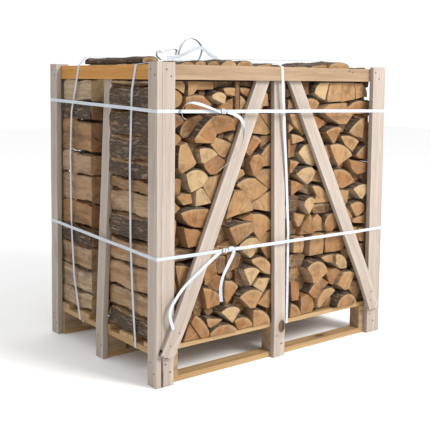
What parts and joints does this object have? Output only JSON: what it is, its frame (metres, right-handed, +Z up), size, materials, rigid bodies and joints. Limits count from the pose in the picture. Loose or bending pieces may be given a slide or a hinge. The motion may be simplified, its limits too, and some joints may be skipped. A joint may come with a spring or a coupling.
{
  "type": "pallet of firewood",
  "caption": "Split oak billets stacked in two rows on a wooden pallet, held by a frame of boards with diagonal braces and by woven straps round it",
  "frame": {"origin": "on the floor under the middle of the crate, on the underside of the middle runner", "axes": "+X along the long face to the right, +Y from the front face to the back, +Z up"},
  "size_m": [1.2026, 0.8911, 1.284],
  "materials": {
    "frame_board": "sawn softwood, pale and dry, faintly pink",
    "rail_board": "sawn softwood, tan, grain along it",
    "pallet_board": "sawn softwood, orange",
    "oak_billets": "split oak, pale sawn ends, tan split faces, grey brown bark",
    "bark_billet": "rough grey brown bark",
    "strap": "white woven band with a slight sheen",
    "buckle": "white"
  },
  "bodies": {
    "root": {"runner_front": "pallet_board", "runner_middle": "pallet_board", "runner_back": "pallet_board", "stringer_left": "pallet_board", "stringer_middle": "pallet_board", "stringer_right": "pallet_board", "deck_board_1": "pallet_board", "deck_board_2": "pallet_board", "deck_board_3": "pallet_board", "deck_board_4": "pallet_board", "deck_board_5": "pallet_board", "block_front_left": "rail_board", "block_front_middle": "rail_board", "block_front_right": "rail_board", "block_middle_left": "rail_board", "block_middle_middle": "rail_board", "block_middle_right": "rail_board", "block_back_left": "rail_board", "block_back_middle": "rail_board", "block_back_right": "rail_board", "corner_plank_front_1": "frame_board", "corner_plank_front_2": "frame_board", "corner_plank_right_1": "frame_board", "corner_plank_right_2": "frame_board", "corner_plank_back_1": "frame_board", "corner_plank_back_2": "frame_board", "corner_plank_left_1": "frame_board", "corner_plank_left_2": "frame_board", "middle_post_front": "frame_board", "middle_post_right": "frame_board", "middle_post_back": "frame_board", "middle_post_left": "frame_board", "diagonal_front_left": "frame_board", "diagonal_front_right": "frame_board", "diagonal_back_left": "frame_board", "diagonal_back_right": "frame_board", "rail_front": "rail_board", "rail_back": "rail_board", "rail_right": "pallet_board", "rail_left": "pallet_board", "log_row_front": "oak_billets", "log_row_back": "oak_billets", "top_bark_log": "bark_billet", "band_level_upper": "strap", "band_level_lower": "strap", "band_upright_front": "strap", "band_upright_near": "strap", "band_upright_far": "strap", "loose_end_upper": "strap", "loose_bow_upper": "strap", "loose_end_lower_left": "strap", "loose_end_lower_right": "strap", "loose_end_top_loop": "strap", "loose_end_top_flat": "strap", "loose_end_top_small": "strap", "buckle_upper": "buckle", "buckle_lower": "buckle"}
  },
  "joints": []
}
